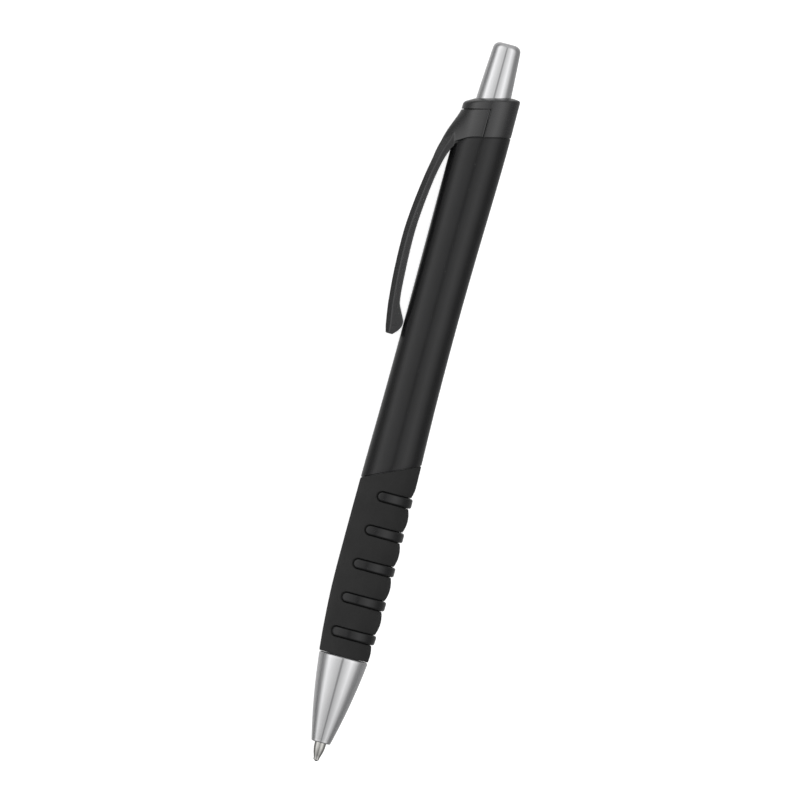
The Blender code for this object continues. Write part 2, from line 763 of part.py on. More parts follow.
def resting_roll():
    """How far the clip points below level when the clip and the grip both touch the ground."""
    widest = max((clip_side + far_side) / 2 for _, clip_side, far_side in BODY_STATIONS)
    corners = [(outer, half_width - width) for _, _, outer, half_width, _, width in CLIP_STATIONS]
    corners += [(outer - depth, half_width) for _, _, outer, half_width, depth, _ in CLIP_STATIONS]
    reaches = [(hypot(reach, side), atan2(side, reach)) for reach, side in corners]
    return min(asin(widest / reach) - angle for reach, angle in reaches if reach > widest)


def lay_down(pen):
    """Lay the pen on its side with its tip toward +X, and stand it on the origin."""
    pen.matrix_world = Matrix.Rotation(resting_roll() - pi / 2, 4, "X") @ Matrix.Rotation(-pi / 2, 4, "Y")
    bpy.context.view_layer.update()
    shapes = bpy.context.evaluated_depsgraph_get()
    corners = []
    for piece in pen.children:
        if not piece.hide_render:
            mesh = piece.evaluated_get(shapes).to_mesh()
            corners += [piece.matrix_world @ vertex.co for vertex in mesh.vertices]
    low = [min(c[i] for c in corners) for i in range(3)]
    high = [max(c[i] for c in corners) for i in range(3)]
    pen.location = (-(low[0] + high[0]) / 2, -(low[1] + high[1]) / 2, -low[2])


def main():
    for old in list(bpy.data.objects):
        bpy.data.objects.remove(old)
    pen = bpy.data.objects.new("pen", None)
    bpy.context.collection.objects.link(pen)
    make_barrel(pen)
    make_grip_sleeve(pen)
    make_nose_cone(pen)
    make_end_collar(pen)
    make_clip_base(pen)
    make_clip_arm(pen)
    make_cam_sleeve(pen)
    make_cam_rotor(pen)
    make_plunger(pen)
    make_push_button(pen)
    make_writing_ball(pen)
    make_refill_tip(pen)
    make_refill_tip_holder(pen)
    make_refill_tube(pen)
    make_refill_ink(pen)
    make_return_spring(pen)
    lay_down(pen)


main()
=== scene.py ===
"""Looks for the retractable ballpoint pen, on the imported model's frame.

Shapes are drawn in the pen's own millimetres: the writing tip is at the origin, +Z runs to the
push button and the clip is on -X. The frame then says where the pen lies.
"""

import json
from math import cos, hypot, pi, radians, sin, sqrt, tan

import bmesh
import bpy
from mathutils import Matrix, Vector


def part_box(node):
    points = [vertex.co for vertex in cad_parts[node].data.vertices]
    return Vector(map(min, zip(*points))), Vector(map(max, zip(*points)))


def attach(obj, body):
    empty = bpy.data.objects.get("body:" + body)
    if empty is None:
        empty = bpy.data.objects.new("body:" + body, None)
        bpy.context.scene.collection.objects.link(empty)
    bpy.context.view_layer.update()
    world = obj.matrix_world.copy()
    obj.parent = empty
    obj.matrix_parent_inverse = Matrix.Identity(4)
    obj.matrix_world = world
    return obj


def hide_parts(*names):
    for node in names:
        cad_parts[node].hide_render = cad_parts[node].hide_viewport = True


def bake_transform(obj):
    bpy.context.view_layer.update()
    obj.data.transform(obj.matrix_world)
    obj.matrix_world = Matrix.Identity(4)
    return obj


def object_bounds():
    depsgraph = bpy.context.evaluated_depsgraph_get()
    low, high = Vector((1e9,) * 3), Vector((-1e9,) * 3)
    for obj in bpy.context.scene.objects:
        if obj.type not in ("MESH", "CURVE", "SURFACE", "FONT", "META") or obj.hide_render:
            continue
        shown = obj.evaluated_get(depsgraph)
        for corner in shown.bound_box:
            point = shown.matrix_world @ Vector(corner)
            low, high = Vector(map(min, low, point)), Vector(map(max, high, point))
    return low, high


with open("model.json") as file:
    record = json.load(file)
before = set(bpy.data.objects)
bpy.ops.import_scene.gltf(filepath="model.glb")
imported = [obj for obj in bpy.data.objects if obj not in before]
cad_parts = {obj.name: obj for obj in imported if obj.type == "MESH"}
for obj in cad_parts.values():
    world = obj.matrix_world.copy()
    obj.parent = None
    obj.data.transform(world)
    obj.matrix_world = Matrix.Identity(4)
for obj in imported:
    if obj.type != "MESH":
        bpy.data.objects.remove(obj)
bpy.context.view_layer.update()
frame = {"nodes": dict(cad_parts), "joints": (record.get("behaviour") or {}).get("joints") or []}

MM = 0.001
COLUMNS = 144                # facets round the outer shells
SHARP_ANGLE = radians(38)    # edges steeper than this are shaded sharp
WELD = 0.0005                # points closer than this are one point
GAP = 0.1                    # clearance between pieces that touch
EDGE = 0.12                  # rounding of moulded edges
SEAM = 0.18                  # width of a seam between outer pieces
LIP = 0.15                   # how far a hidden lip reaches into a seam
LIP_INSET = 0.17             # how deep the lip lies under the surface

# Outer shape: the height, the reach on the clip side and the reach on the far side.
BODY_STATIONS = (
    (20.9, 4.91, 4.80),
    (25.8, 5.36, 5.12),
    (33.5, 5.80, 5.28),
    (43.2, 5.88, 5.24),
    (56.7, 5.82, 5.01),
    (72.1, 5.63, 4.66),
    (87.5, 5.55, 4.58),
    (101.0, 5.55, 4.74),
    (120.2, 5.55, 5.15),
    (133.0, 5.45, 5.15),
)

# Nose cone
NOSE_FRONT = 3.7
NOSE_REAR = 20.85
NOSE_FRONT_RADIUS = 1.85
NOSE_REAR_RADIUS = 4.84
NOSE_BULGE = 0.30
NOSE_ROUNDING = 0.25
NOSE_CHAMFER = 0.3
NOSE_CHAMFER_DEPTH = 0.225
TIP_HOLE_RADIUS = 1.27
TIP_HOLE_CHAMFER = 0.1
SPRING_SEAT = 8.5
SPRING_BORE_RADIUS = 2.35
THREAD_BORE_START = 13.4
THREAD_BORE_RADIUS = 3.4

# Barrel
SPIGOT_FRONT = 13.7
SPIGOT_BORE_RADIUS = 2.6
THREAD_START = 0.6           # plain end of the spigot before its thread
THREAD_CREST = 3.25
THREAD_ROOT = 3.0
THREAD_PITCH = 1.25
THREAD_TURNS = 4
GRIP_CORE_RADIUS = 4.15
CAM_BORE_START = 96.0
CAM_BORE_RADIUS = 3.95
NECK_RADIUS = 4.55
NECK_TOP = 128.0

# Grip: the seam with the barrel, and the barrel's ribs that show through its windows
GRIP_SEAM_HEIGHT = 57.95
GRIP_SEAM_SLOPE = tan(radians(24.8))
RIB_COUNT = 5
RIB_LOWEST = 25.3
RIB_PITCH = 6.82
RIB_HALF_WIDTH = 0.95
RIB_SPAN_LOWEST = radians(133)
RIB_SPAN_HIGHEST = radians(105)
RIB_ROUNDING = 0.38
RIB_SKIRT = 0.1              # how far a rib's foot spreads
RIB_SKIRT_INSET = 0.55
RIB_SINK = 0.05              # how far a rib's foot lies under the grip's core
RIB_END_RADIUS = 3.75        # turns the length of a rib's round end into an angle
WINDOW_MARGIN = 0.14         # clearance between a rib and its window
WINDOW_HALF_WIDTH = RIB_HALF_WIDTH + WINDOW_MARGIN
WINDOW_END = WINDOW_HALF_WIDTH / (RIB_END_RADIUS + WINDOW_HALF_WIDTH)
WINDOW_LIP = 0.15
LIP_STEPS = (0, 0.02, 0.06, 0.1, WINDOW_LIP)
WINDOW_GUARD = 0.4           # width of rubber past a window's lip that keeps the lip's own columns
SLIT = 0.03                  # half the height of the grid's narrowest row past a window's end
RUBBER_DIP = 0.45            # how much thinner the rubber is beside a rib

# End collar and clip
COLLAR_SEAM_HEIGHT = 124.24
COLLAR_SEAM_SLOPE = 0.24
COLLAR_SEAM_SAG = 0.0023
COLLAR_TOP_HEIGHT = 132.74
COLLAR_TOP_SLOPE = 0.26
COLLAR_TOP_DOME = 0.04
COLLAR_EDGE_ROUNDING = 0.38
COLLAR_RIM_UNDERSIDE = 129.75
COLLAR_LIP_RADIUS = 5.1
BUTTON_HOLE_RADIUS = 3.42
BUTTON_HOLE_ROUNDING = 0.15
CLIP_SEAM_HEIGHT = 130.2
CLIP_WRAP = radians(3)       # how far past half way round the clip's half shell reaches
SHELL_INNER_RADIUS = NECK_RADIUS + GAP
CUTTER_MARGIN = 0.2          # how far the clip's cutter reaches into the neck's clearance
PAST_SURFACE = 1.0           # how far it reaches out of the outer surface
PAST_SEAM = 3                # how far it reaches below the collar

# Clip arm: height, reach of the inner and outer faces, half width, and the chamfer's depth and width
CLIP_STATIONS = (
    (83.3, 7.10, 8.45, 2.00, 0.60, 0.95),
    (84.5, 6.05, 8.75, 2.03, 0.90, 1.10),
    (86.0, 5.66, 9.02, 2.06, 0.95, 1.20),
    (87.9, 6.52, 9.32, 2.10, 0.95, 1.25),
    (89.6, 7.28, 9.53, 2.12, 0.95, 1.25),
    (95.2, 7.77, 9.98, 2.15, 0.95, 1.25),
    (102.9, 8.02, 10.16, 2.20, 0.95, 1.25),
    (108.7, 7.71, 9.77, 2.30, 1.00, 1.30),
    (114.5, 7.05, 9.05, 2.50, 1.15, 1.50),
    (118.0, 6.38, 8.45, 2.80, 1.40, 1.80),
    (120.2, 5.70, 8.10, 2.98, 1.70, 2.20),
    (121.6, 5.00, 7.75, 3.00, 1.85, 2.30),
    (122.8, 4.60, 7.35, 2.85, 2.00, 2.25),
    (124.8, 4.70, 6.45, 2.10, 1.40, 1.80),
)
# Root of the clip: height, and how far it stands out of the half shell
CLIP_ROOT_STATIONS = (
    (121.0, 2.30),
    (122.75, 1.95),
    (124.6, 1.40),
    (126.4, 0.72),
    (128.2, 0.10),
    (129.2, 0.0),
)
CLIP_ROOT_HALF_WIDTH = 4.4
CLIP_ROOT_FLAT = 0.2
CLIP_CLEARANCE = 0.18        # between the clip's underside and the barrel
CLIP_ROWS = 40               # rows of points up the half shell
CLIP_VOXEL = 0.1
CLIP_SMOOTHING = 12

# Push button
BUTTON_FLANGE_BOTTOM = 123.6
BUTTON_FLANGE_TOP = 124.6
BUTTON_FLANGE_RADIUS = 3.75
BUTTON_RADIUS = 3.28
BUTTON_SHAFT_TOP = 130.5
BUTTON_TAPER_START = 132.0
BUTTON_TAPER_END = 141.8
BUTTON_TAPER_CURVE = 1.15    # above 1, the taper steepens toward the end
BUTTON_END_RADIUS = 2.72
BUTTON_TOP = 143.1
BUTTON_FLAT_RADIUS = 1.4
BUTTON_BORE_RADIUS = 2.55
BUTTON_BORE_TOP = 134.0

# Refill and return spring
BALL_RADIUS = 0.5
BALL_CLEARANCE = 0.05
TIP_RADIUS = 1.15
TIP_CONE = (
    (0.5, 0.22),
    (0.54, 0.26),
    (0.6, 0.8),
    (0.72, 1.15),
    (0.84, 1.5),
    (0.94, 1.9),
    (1.03, 2.3),
    (1.09, 2.7),
    (1.12, 3.1),
    (1.14, 3.7),
    (TIP_RADIUS, 4.2),
)
TIP_REAR = 10.0
TIP_TAIL_RADIUS = 0.9
TIP_TAIL_REAR = 14.0
INK_CHANNEL_RADIUS = 0.25
HOLDER_SHOULDER = 24.0
WIRE_RADIUS = 0.2
WIRE_FACETS = 10
COIL_RADIUS = 1.95
SPRING_TURNS = 7
CLOSED_TURNS = 1.25
CLOSED_PITCH = 0.46
POINTS_PER_TURN = 28

# Finishes
NOISE_RANGE = (0.3, 0.7)     # most of a noise's values
BROAD_GRAIN = 0.25           # features to the millimetre
LATHE_GRAIN = 9.0

# View
LENS = 800
SENSOR = 36
VIEW_HEIGHT = 154.2          # millimetres of the pen's plane that the view takes in
VIEW_LEAN = radians(15.05)
VIEW_CENTRE = (0, 0, 72.07)
VIEW_OFFSET = 2.45           # how far that point stands right of the view's middle

# Studio: brightness at each angle in degrees round the pen's long axis. 0 is the camera's side, and
# angles below 0 are the clip's side.
STUDIO_BAND = (
    (-180, 0.55),
    (-152, 0.48),
    (-134, 0.36),
    (-106, 0.13),
    (-90, 0.3),
    (-66, 1.12),
    (-35, 0.8),
    (-7, 0.58),
    (-3, 0.26),
    (3, 0.26),
    (7, 0.58),
    (25, 0.8),
    (46, 1.1),
    (70, 0.65),
    (88, 0.25),
    (105, 0.17),
    (130, 0.23),
    (155, 0.33),
    (180, 0.55),
)
TIP_END_LEVEL = 0.15         # the band fades to this toward the writing tip's end
TIP_END_RANGE = (-0.9, -0.15)
POLE_LEVEL = 0.4             # even brightness over both ends of the pen's axis
POLE_RANGE = (0.6, 0.92)
FILL_POWER = 60.0
FILL_SIZE = 0.4              # metres, as are the floor's size and its gap to the pen
FLOOR_SIZE = 40
FLOOR_GAP = 0.00005
FLOOR_GLOW = 0.52


def pen_matrix():
    """Takes the pen's own millimetres to metres in the row frame."""
    low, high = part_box("writing_ball")
    middle = (low + high) / 2
    hinge = next(joint for joint in frame["joints"] if joint["name"] == "clip_flex")
    width = Vector(hinge["axis"])
    length = Vector((-1, 0, 0))
    depth = width.cross(length)
    turn = Matrix((depth, width, length)).transposed().to_4x4()
    return Matrix.Translation((high.x, middle.y, middle.z)) @ turn @ Matrix.Scale(MM, 4)


PEN = pen_matrix()


# Curves of the pen's shape


def smooth(stations, height):
    """The values at a height, on smooth curves through the stations."""
    last = len(stations) - 1
    low = next((i for i in range(last) if height <= stations[i + 1][0]), last - 1)
    before, start = stations[max(low - 1, 0)], stations[low]
    end, after = stations[low + 1], stations[min(low + 2, last)]
    span = end[0] - start[0]
    t = (height - start[0]) / span
    values = []
    for i in range(1, len(start)):
        slope_start = (end[i] - before[i]) / (end[0] - before[0]) * span
        slope_end = (after[i] - start[i]) / (after[0] - start[0]) * span
        rise = end[i] - start[i]
        curve = (slope_start + slope_end - 2 * rise) * t ** 3
        curve += (3 * rise - 2 * slope_start - slope_end) * t ** 2
        values.append(start[i] + slope_start * t + curve)
    return values


def ramp(low, high, value):
    """0 below low, 1 above high, and smooth in between."""
    share = min(max((value - low) / (high - low), 0), 1)
    return share * share * (3 - 2 * share)


def fillet(distance, radius):
    """How far a rounded edge falls at a distance in from the edge."""
    short = min(max(radius - distance, 0), radius)
    return radius - sqrt(radius ** 2 - short ** 2)


def body_point(angle, height, inset=0.0):
    """A point of the pen's outer surface. The body's centre leans toward the clip."""
    clip_side, far_side = smooth(BODY_STATIONS, height)
    radius = (clip_side + far_side) / 2 - inset
    centre = (far_side - clip_side) / 2
    return Vector((centre + radius * cos(angle), radius * sin(angle), height))


def angles(segments):
    """Evenly spaced angles, once round."""
    return [2 * pi * i / segments for i in range(segments)]


def circle(radius, height, segments=COLUMNS):
    """A level circle about the pen's axis."""
    return [Vector((radius * cos(a), radius * sin(a), height)) for a in angles(segments)]


def sloped_circle(radius, height_at):
    """A circle whose points stand at the height that height_at gives for each x."""
    return [Vector((p.x, p.y, height_at(p.x))) for p in circle(radius, 0)]


def body_ring(height_at, inset=0.0, lift=0.0):
    """A ring on the outer surface, at the height that height_at gives for each x."""
    ring = []
    for angle in angles(COLUMNS):
        x = body_point(angle, height_at(0)).x
        ring.append(body_point(angle, height_at(x) + lift, inset))
    return ring


def edge_steps(radius, count=3):
    """Offsets along and into the surface, from the edge inward, round a small fillet."""
    steps = [pi / 2 * i / count for i in range(count + 1)]
    return [(radius * (1 - cos(a)), radius * (1 - sin(a))) for a in steps]


def between(low, high, share):
    """A height function part of the way from one to another."""
    return lambda x: (1 - share) * low(x) + share * high(x)


def grip_seam(x):
    """The slanted seam between the rubber and the barrel."""
    return GRIP_SEAM_HEIGHT + GRIP_SEAM_SLOPE * x


def collar_seam(x):
    """The collar's lower edge, which curves down toward the clip."""
    return COLLAR_SEAM_HEIGHT + COLLAR_SEAM_SLOPE * x - COLLAR_SEAM_SAG * min(x, 0) ** 4


def clip_seam(x):
    """The seam over the clip's half shell, level with the collar's sloping top."""
    return CLIP_SEAM_HEIGHT + COLLAR_TOP_SLOPE * x


def collar_top(x, y):
    """The collar's top slopes down to the clip and is slightly domed."""
    return COLLAR_TOP_HEIGHT + COLLAR_TOP_SLOPE * x - COLLAR_TOP_DOME * (x * x + y * y)


def rib_height(index):
    """The height of a rib's middle, counted from the nose cone."""
    return RIB_LOWEST + index * RIB_PITCH


def rib_span(height):
    """How far round a rib at this height reaches, each way from the far side."""
    share = (height - RIB_LOWEST) / ((RIB_COUNT - 1) * RIB_PITCH)
    return (1 - share) * RIB_SPAN_LOWEST + share * RIB_SPAN_HIGHEST


# Meshes


def finish_mesh(mesh, name):
    """Turns a mesh in the pen's millimetres into an object in the row frame."""
    bmesh.ops.recalc_face_normals(mesh, faces=mesh.faces)
    data = bpy.data.meshes.new(name)
    mesh.to_mesh(data)
    mesh.free()
    data.transform(PEN)
    data.shade_smooth()
    data.set_sharp_from_angle(angle=SHARP_ANGLE)
    piece = bpy.data.objects.new(name, data)
    bpy.context.scene.collection.objects.link(piece)
    return piece


def add_skin(mesh, rings, hollow):
    """A surface over a stack of rings: a tube wall when hollow, otherwise capped at both ends."""
    loops = [[mesh.verts.new(p) for p in ring] for ring in rings]
    count = len(loops[0])
    pairs = list(zip(loops, loops[1:]))
    if hollow:
        pairs.append((loops[-1], loops[0]))
    else:
        mesh.faces.new(loops[0])
        mesh.faces.new(loops[-1])
    for lower, upper in pairs:
        for i in range(count):
            j = (i + 1) % count
            mesh.faces.new((lower[i], lower[j], upper[j], upper[i]))


def turned(name, profile, hollow=True, segments=COLUMNS):
    """A profile of radius and height, turned about the pen's axis."""
    mesh = bmesh.new()
    add_skin(mesh, [circle(r, z, segments) for r, z in profile], hollow)
    return finish_mesh(mesh, name)


def add_shell(mesh, outer, inner, closed, absent):
    """A thick wall between two grids of points, outer[row][column] and inner[row][column].

    absent(row, column) says which cells are open. The sides of the openings are walled.
    """
    rows, columns = len(outer), len(outer[0])
    faces = [[[mesh.verts.new(p) for p in row] for row in grid] for grid in (outer, inner)]
    width = columns if closed else columns - 1

    def solid(row, column):
        if closed:
            column %= width
        inside = 0 <= row < rows - 1 and 0 <= column < width
        return inside and not absent(row, column)

    def quad(*corners):
        mesh.faces.new([faces[side][row][column % columns] for side, row, column in corners])

    for row in range(rows):
        for column in range(columns):
            here = solid(row, column)
            if here:
                for side in (0, 1):
                    quad((side, row, column), (side, row, column + 1),
                         (side, row + 1, column + 1), (side, row + 1, column))
            if here != solid(row - 1, column):
                quad((0, row, column), (0, row, column + 1),
                     (1, row, column + 1), (1, row, column))
            if here != solid(row, column - 1):
                quad((0, row, column), (0, row + 1, column),
                     (1, row + 1, column), (1, row, column))
    loose = [v for v in mesh.verts if not v.link_faces]
    bmesh.ops.delete(mesh, geom=loose, context="VERTS")


# Pieces


def rounded_corner(radius, height, size, start, steps=4):
    """Profile points round a convex corner at (radius, height), through a quarter turn from start."""
    turns = [radians(start) + pi / 2 * i / steps for i in range(steps + 1)]
    return [(radius + size * cos(t), height + size * sin(t)) for t in turns]


def nose_radius(height):
    """A cone that bulges a little between its ends."""
    share = (height - NOSE_FRONT) / (NOSE_REAR - NOSE_FRONT)
    straight = NOSE_FRONT_RADIUS + (NOSE_REAR_RADIUS - NOSE_FRONT_RADIUS) * share
    return straight + 4 * NOSE_BULGE * share * (1 - share)


def make_nose_shell():
    """The nose cone: a curved outside with eased edges, and stepped bores for the spring and thread."""
    steps = 40
    ease = 0.03
    first = NOSE_FRONT + NOSE_ROUNDING
    last = NOSE_REAR - NOSE_CHAMFER
    chamfer_radius = NOSE_REAR_RADIUS - NOSE_CHAMFER_DEPTH
    tip_corner = rounded_corner(nose_radius(first) - NOSE_ROUNDING, first, NOSE_ROUNDING, -90, 6)
    profile = [
        (TIP_HOLE_RADIUS, NOSE_FRONT + TIP_HOLE_CHAMFER),
        (TIP_HOLE_RADIUS + TIP_HOLE_CHAMFER, NOSE_FRONT),
        *tip_corner[:-1],
    ]
    for i in range(steps + 1):
        height = first + (last - first) * i / steps
        profile.append((nose_radius(height), height))
    profile += [
        (NOSE_REAR_RADIUS - 0.05, last + ease),
        (chamfer_radius, NOSE_REAR - ease),
        (chamfer_radius - 0.04, NOSE_REAR),
        (THREAD_BORE_RADIUS, NOSE_REAR),
        (THREAD_BORE_RADIUS, THREAD_BORE_START),
        (SPRING_BORE_RADIUS, THREAD_BORE_START),
        (SPRING_BORE_RADIUS, SPRING_SEAT),
        (TIP_HOLE_RADIUS, SPRING_SEAT),
    ]
    return turned("nose_shell", profile)


def spigot_rings():
    """The barrel's threaded spigot, with each thread turn as a ring."""
    rings = [circle(THREAD_ROOT, SPIGOT_FRONT)]
    for turn in range(THREAD_TURNS):
        start = SPIGOT_FRONT + THREAD_START + turn * THREAD_PITCH
        for radius, share in ((THREAD_ROOT, 0), (THREAD_CREST, 0.4), (THREAD_ROOT, 0.8)):
            rings.append(circle(radius, start + THREAD_PITCH * share))
    return rings


def barrel_rings():
    """The barrel from its spigot up the outside to its neck, and back down its bores."""
    shoulder = NOSE_REAR + GAP
    steps = 60
    rings = spigot_rings()
    rings += [circle(THREAD_ROOT, shoulder), circle(GRIP_CORE_RADIUS, shoulder)]
    rings.append(sloped_circle(GRIP_CORE_RADIUS, lambda x: grip_seam(x) - LIP))
    rings += [body_ring(grip_seam, LIP_INSET, -LIP), body_ring(grip_seam, LIP_INSET)]
    rings += [body_ring(grip_seam, inset, lift) for lift, inset in edge_steps(EDGE)]
    for i in range(1, steps):
        rings.append(body_ring(between(grip_seam, collar_seam, i / steps)))
    rings += [body_ring(collar_seam, inset, -lift) for lift, inset in reversed(edge_steps(EDGE))]
    rings += [body_ring(collar_seam, LIP_INSET), body_ring(collar_seam, LIP_INSET, LIP)]
    rings.append(sloped_circle(NECK_RADIUS, lambda x: collar_seam(x) + LIP))
    rings += [circle(NECK_RADIUS, NECK_TOP), circle(CAM_BORE_RADIUS, NECK_TOP)]
    rings += [circle(CAM_BORE_RADIUS, CAM_BORE_START), circle(SPIGOT_BORE_RADIUS, CAM_BORE_START)]
    rings.append(circle(SPIGOT_BORE_RADIUS, SPIGOT_FRONT))
    return rings


def end_overrun(angle, straight, end_angle, half_width):
    """How far past the straight part of a round-ended bar an angle is, in millimetres."""
    return max(abs(angle) - straight, 0) / end_angle * half_width


def add_rib(mesh, index):
    """A round-ended bar bent round the barrel, with its long edges rounded over."""
    height = rib_height(index)
    end_steps, bend_steps, half_steps = 8, 90, 8
    end_angle = RIB_HALF_WIDTH / (RIB_END_RADIUS + RIB_HALF_WIDTH)
    straight = rib_span(height) - end_angle
    along = [end_angle * sin(pi / 2 * i / end_steps) for i in range(1, end_steps + 1)]
    steps = [-straight - step for step in reversed(along)]
    steps += [straight * (2 * i / bend_steps - 1) for i in range(bend_steps + 1)]
    steps += [straight + step for step in along]
    across = [sin(pi / 2 * (i / half_steps - 1)) for i in range(2 * half_steps + 1)]

    def side_points(angle, half, side):
        skirt = height + side * (half + RIB_SKIRT)
        foot = GRIP_CORE_RADIUS - RIB_SINK
        return [
            Vector((foot * cos(angle), foot * sin(angle), skirt)),
            body_point(angle, skirt, RIB_SKIRT_INSET + RIB_SKIRT),
            body_point(angle, height + side * half, RIB_SKIRT_INSET),
        ]

    def column(angle):
        overrun = end_overrun(angle, straight, end_angle, RIB_HALF_WIDTH)
        half = sqrt(max(RIB_HALF_WIDTH ** 2 - overrun ** 2, 0))
        crown = []
        for share in across:
            distance = RIB_HALF_WIDTH - hypot(overrun, share * half)
            crown.append(body_point(angle, height + share * half, fillet(distance, RIB_ROUNDING)))
        return [*side_points(angle, half, -1), *crown, *reversed(side_points(angle, half, 1))]

    sections = [[mesh.verts.new(p) for p in column(angle)] for angle in steps]
    for left, right in zip(sections, sections[1:]):
        for i in range(len(left)):
            j = (i + 1) % len(left)
            mesh.faces.new((left[i], left[j], right[j], right[i]))


def make_barrel_shell():
    """The barrel with the five ribs that fill the grip's windows."""
    mesh = bmesh.new()
    add_skin(mesh, barrel_rings(), hollow=True)
    for index in range(RIB_COUNT):
        add_rib(mesh, index)
    bmesh.ops.remove_doubles(mesh, verts=mesh.verts, dist=WELD)
    return finish_mesh(mesh, "barrel_shell")


def window_straight(height):
    """The angle at which the straight part of a window ends."""
    return rib_span(height) + WINDOW_MARGIN / GRIP_CORE_RADIUS - WINDOW_END


def window_half(index, angle):
    """Half the height of a window at an angle, or a slit's past its ends."""
    overrun = end_overrun(angle, window_straight(rib_height(index)), WINDOW_END, WINDOW_HALF_WIDTH)
    return max(sqrt(max(WINDOW_HALF_WIDTH ** 2 - overrun ** 2, 0)), SLIT)


def grip_columns():
    """The angle of each column of the grip at a height, and which columns lie over the windows."""
    middle, end_steps, back = 44, 8, 16
    turn_radius = 5      # about the grip's own, to space columns by a length round it
    ends = [sin(pi / 2 * i / end_steps) for i in range(end_steps + 1)]
    beyond = [step / turn_radius for step in (*LIP_STEPS[1:], WINDOW_GUARD)]

    def half_turn(height):
        straight = window_straight(height)
        tip = straight + WINDOW_END
        half = [straight * i / middle for i in range(1, middle)]
        half += [straight + WINDOW_END * end for end in ends]
        half += [tip + step for step in beyond]
        last = half[-1]
        half += [last + (pi - last) * i / back for i in range(1, back + 1)]
        return half

    def columns(height):
        half = half_turn(height)
        return [-angle for angle in reversed(half[:-1])] + [0] + half

    tip_column = middle - 1 + end_steps
    centre = len(half_turn(RIB_LOWEST)) - 1
    return columns, range(centre - tip_column - 1, centre + tip_column + 1)


def grip_rows():
    """The rows of the grip: the height that places the columns, and the height at each angle."""
    front = NOSE_REAR + GAP
    rows = []

    def edge(index, side, step):
        return lambda angle: rib_height(index) + side * (window_half(index, angle) + step)

    def rear(angle):
        return grip_seam(body_point(angle, grip_seam(0)).x) - SEAM

    def fill(count, first, last, low, high):
        for share in [i / count for i in range(1, count)]:
            rows.append((first + (last - first) * share, between(low, high, share)))

    def at_front(step):
        return lambda angle: front + step

    def at_rear(step):
        return lambda angle: rear(angle) - step

    roundings = [lift for lift, _ in edge_steps(EDGE)]
    rows += [(RIB_LOWEST, at_front(lift)) for lift in roundings]
    fill(7, RIB_LOWEST, RIB_LOWEST, at_front(EDGE), edge(0, -1, WINDOW_LIP))
    windows = []
    for index in range(RIB_COUNT):
        height = rib_height(index)
        rows += [(height, edge(index, -1, step)) for step in reversed(LIP_STEPS)]
        windows.append(len(rows) - 1)
        rows += [(height, edge(index, 1, step)) for step in LIP_STEPS]
        if index < RIB_COUNT - 1:
            below, above = edge(index, 1, WINDOW_LIP), edge(index + 1, -1, WINDOW_LIP)
            fill(12, height, rib_height(index + 1), below, above)
    highest = rib_height(RIB_COUNT - 1)
    fill(18, highest, highest, edge(RIB_COUNT - 1, 1, WINDOW_LIP), at_rear(EDGE))
    rows += [(highest, at_rear(lift)) for lift in reversed(roundings)]
    return rows, windows


def rubber_inset(angle, height, front, rear):
    """How far the rubber lies under the outer surface: its rounded edges, and the dips at the ribs."""
    inset = fillet(min(height - front, rear - height), EDGE)
    bay = RIB_PITCH / 2 - WINDOW_HALF_WIDTH
    dip = 0
    for index in range(RIB_COUNT):
        off = abs(height - rib_height(index))
        overrun = end_overrun(angle, window_straight(rib_height(index)), WINDOW_END, WINDOW_HALF_WIDTH)
        inset = max(inset, fillet(max(hypot(overrun, off) - WINDOW_HALF_WIDTH, 0), WINDOW_LIP))
        dip = max(dip, 1 - max(off - WINDOW_HALF_WIDTH, 0) / bay)
    return inset + RUBBER_DIP * max(cos(angle), 0) * dip ** 2


def make_grip_rubber():
    """The rubber sleeve, open over the barrel's ribs."""
    columns, over_windows = grip_columns()
    rows, windows = grip_rows()
    radius = GRIP_CORE_RADIUS + GAP
    outer, inner = [], []
    for anchor, height_at in rows:
        outer_row, inner_row = [], []
        for angle in columns(anchor):
            front = rows[0][1](angle)
            rear = rows[-1][1](angle)
            height = height_at(angle)
            outer_row.append(body_point(angle, height, rubber_inset(angle, height, front, rear)))
            inner_row.append(Vector((radius * cos(angle), radius * sin(angle), height)))
        outer.append(outer_row)
        inner.append(inner_row)

    def in_window(row, column):
        return row in windows and column in over_windows

    mesh = bmesh.new()
    add_shell(mesh, outer, inner, True, in_window)
    return finish_mesh(mesh, "grip_rubber")


def bake(piece):
    """Makes the piece's modifiers permanent."""
    graph = bpy.context.evaluated_depsgraph_get()
    data = bpy.data.meshes.new_from_object(piece.evaluated_get(graph))
    piece.modifiers.clear()
    piece.data = data


def add_half_shell(mesh, inner, low, high, margin, reach, rows=2, beyond=0.0):
    """A half ring on the clip side, between two sloping edges. reach gives its outer points."""
    columns = COLUMNS // 2
    half_angle = pi / 2 + CLIP_WRAP - margin
    turns = [pi + half_angle * (2 * i / columns - 1) for i in range(columns + 1)]
    outer_grid, inner_grid = [], []
    for row in range(rows):
        edge = between(low, high, row / (rows - 1))
        outer_row, inner_row = [], []
        for angle in turns:
            outer_row.append(reach(angle, edge(body_point(angle, low(0), -beyond).x)))
            x = inner * cos(angle)
            inner_row.append(Vector((x, inner * sin(angle), edge(x))))
        outer_grid.append(outer_row)
        inner_grid.append(inner_row)
    add_shell(mesh, outer_grid, inner_grid, False, lambda row, column: False)


